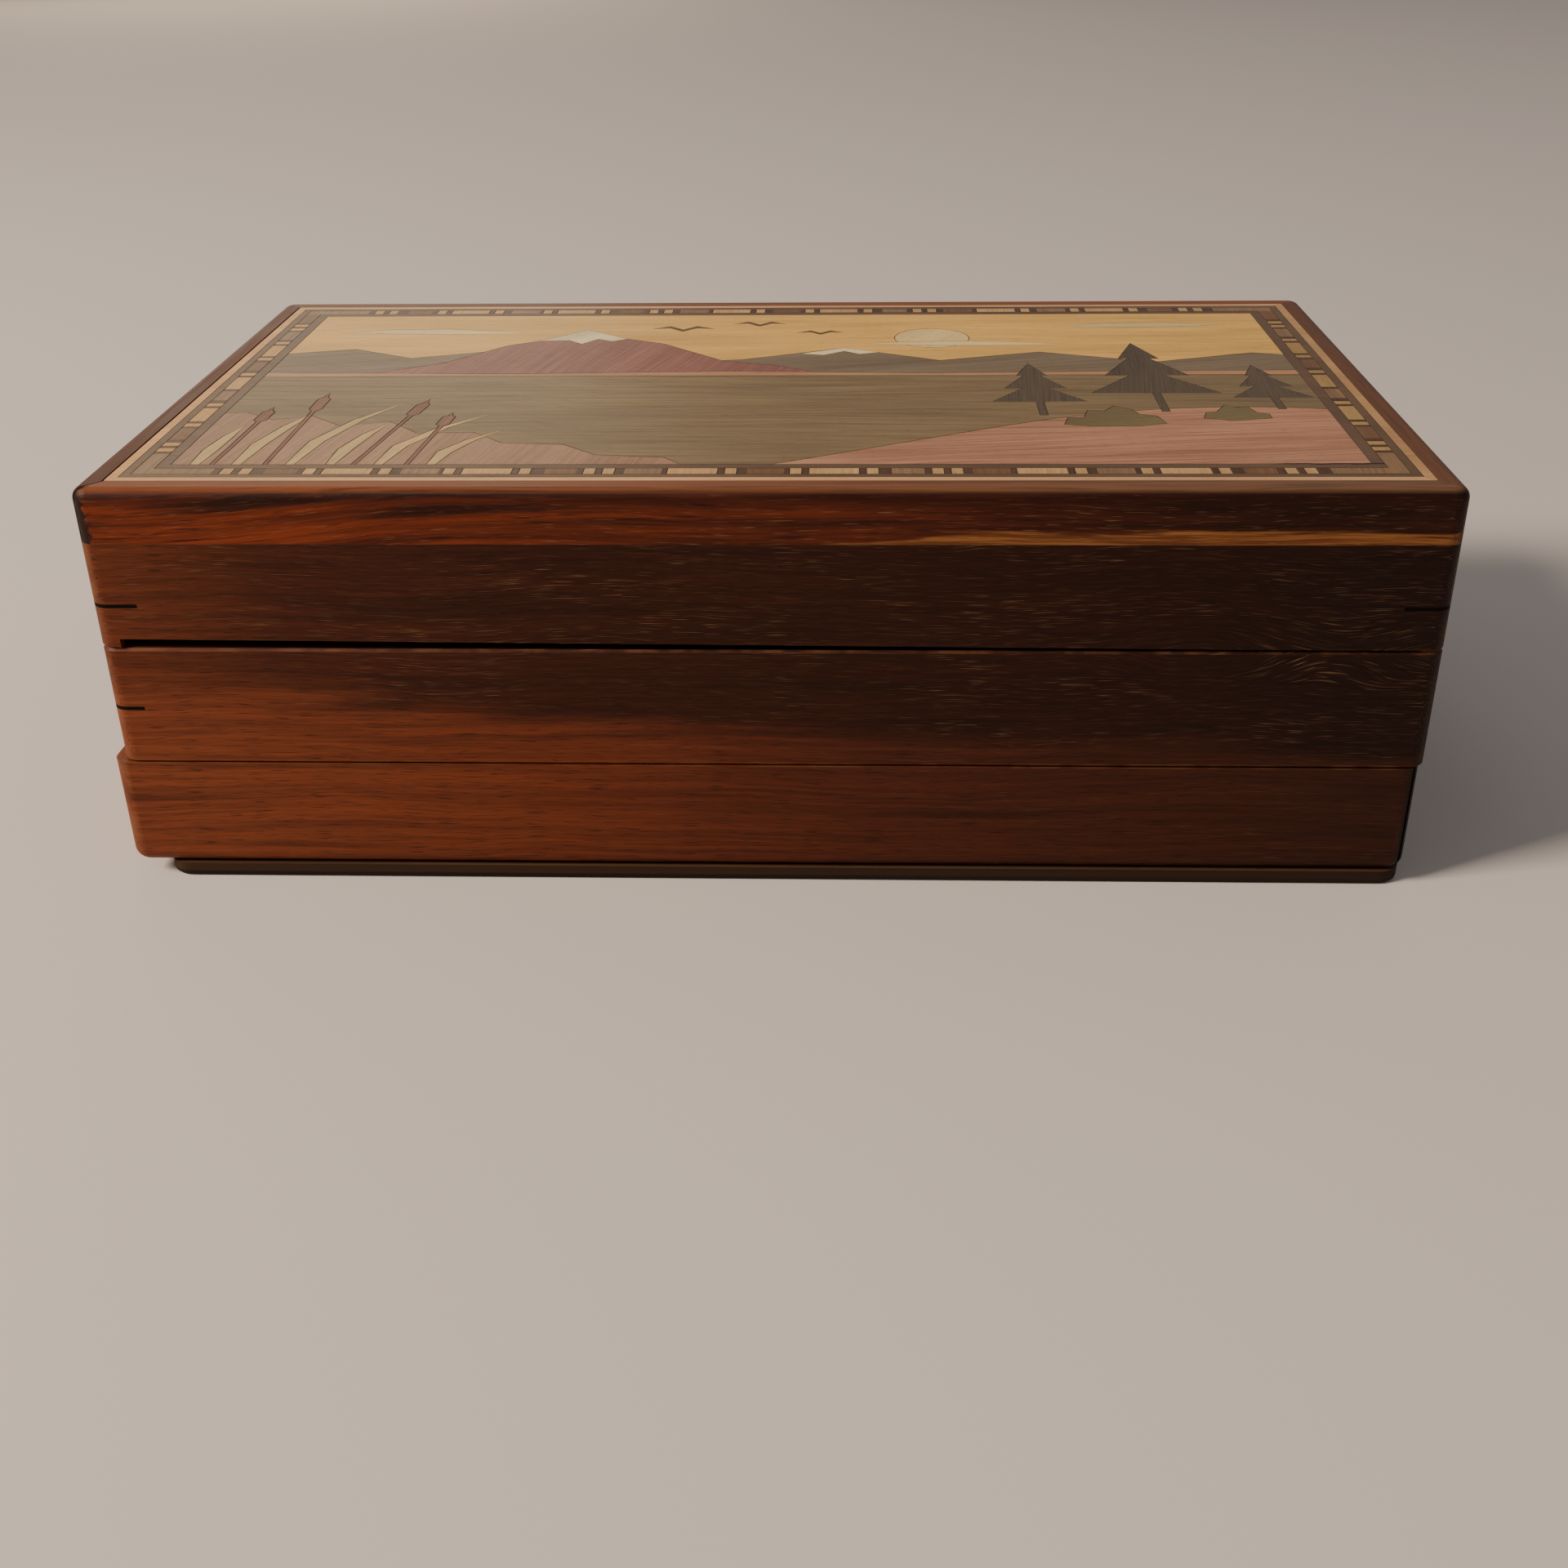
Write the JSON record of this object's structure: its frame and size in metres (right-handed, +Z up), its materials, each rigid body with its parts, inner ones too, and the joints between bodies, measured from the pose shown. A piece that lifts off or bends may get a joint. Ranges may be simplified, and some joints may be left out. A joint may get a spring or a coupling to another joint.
{
  "type": "marquetry box",
  "caption": "Rectangular hardwood box with a marquetry lid, opened in tiers on hinges along its back: a hinged lid over a shallow tray over a base tray.",
  "frame": {"origin": "on the table under the middle of the lid, on the underside of the base board", "axes": "+X along the front from left to right, +Y from the front to the hinged back, +Z up"},
  "size_m": [0.2521, 0.142, 0.0808],
  "materials": {
    "lower_tray_wood": "satin",
    "base_wood": "satin",
    "hinge_brass": "satin",
    "upper_tray_wood": "satin",
    "floor_wood": "satin",
    "key_wood": "satin",
    "rim_wood": "satin",
    "frame_wood": "satin",
    "panel_wood": "satin",
    "pale_veneer": "satin",
    "dark_veneer": "satin",
    "band_veneer": "satin",
    "sky_veneer": "satin",
    "sun_veneer": "satin",
    "clouds_veneer": "satin",
    "birds_veneer": "satin",
    "far_ridge_veneer": "satin",
    "near_ridge_veneer": "satin",
    "snow_caps_veneer": "satin",
    "far_bank_veneer": "satin",
    "lake_veneer": "satin",
    "hill_veneer": "satin",
    "pines_veneer": "satin",
    "shrubs_veneer": "satin",
    "reed_bank_veneer": "satin",
    "reeds_veneer": "satin",
    "bulrushes_veneer": "satin"
  },
  "bodies": {
    "lower_tray": {"lower_front": "lower_tray_wood", "lower_back": "lower_tray_wood", "lower_left": "lower_tray_wood", "lower_right": "lower_tray_wood", "base_board": "base_wood", "tray_hinge_fixed_left": "hinge_brass", "tray_hinge_fixed_right": "hinge_brass", "tray_hinge_pin_left": "hinge_brass", "tray_hinge_pin_right": "hinge_brass"},
    "upper_tray": {"upper_front": "upper_tray_wood", "upper_back": "upper_tray_wood", "upper_left": "upper_tray_wood", "upper_right": "upper_tray_wood", "upper_floor": "floor_wood", "upper_corner_key": "key_wood", "tray_hinge_moving_left": "hinge_brass", "tray_hinge_moving_right": "hinge_brass", "lid_hinge_fixed_left": "hinge_brass", "lid_hinge_fixed_right": "hinge_brass", "lid_hinge_pin_left": "hinge_brass", "lid_hinge_pin_right": "hinge_brass"},
    "lid": {"rim_front": "rim_wood", "rim_back": "rim_wood", "rim_left": "rim_wood", "rim_right": "rim_wood", "rim_corner_keys": "key_wood", "frame_front": "frame_wood", "frame_back": "frame_wood", "frame_left": "frame_wood", "frame_right": "frame_wood", "lid_panel": "panel_wood", "stringing": "pale_veneer", "outer_line": "dark_veneer", "block_ground": "band_veneer", "border_blocks": "pale_veneer", "inner_line": "dark_veneer", "sky": "sky_veneer", "sun": "sun_veneer", "clouds": "clouds_veneer", "birds": "birds_veneer", "far_ridge": "far_ridge_veneer", "near_ridge": "near_ridge_veneer", "snow_caps": "snow_caps_veneer", "far_bank": "far_bank_veneer", "lake": "lake_veneer", "hill": "hill_veneer", "pines": "pines_veneer", "shrubs": "shrubs_veneer", "reed_bank": "reed_bank_veneer", "reeds": "reeds_veneer", "bulrushes": "bulrushes_veneer", "lid_hinge_moving_left": "hinge_brass", "lid_hinge_moving_right": "hinge_brass"}
  },
  "joints": [
    {"name": "tray_hinge", "type": "hinge", "parent": "lower_tray", "child": "upper_tray", "pos_m": [0, 0.0685, 0.0258], "axis": [-1, 0, 0], "range_deg": [0, 75]},
    {"name": "lid_hinge", "type": "hinge", "parent": "upper_tray", "child": "lid", "pos_m": [0, 0.0685, 0.0498], "axis": [-1, 0, 0], "range_deg": [0, 100]}
  ]
}
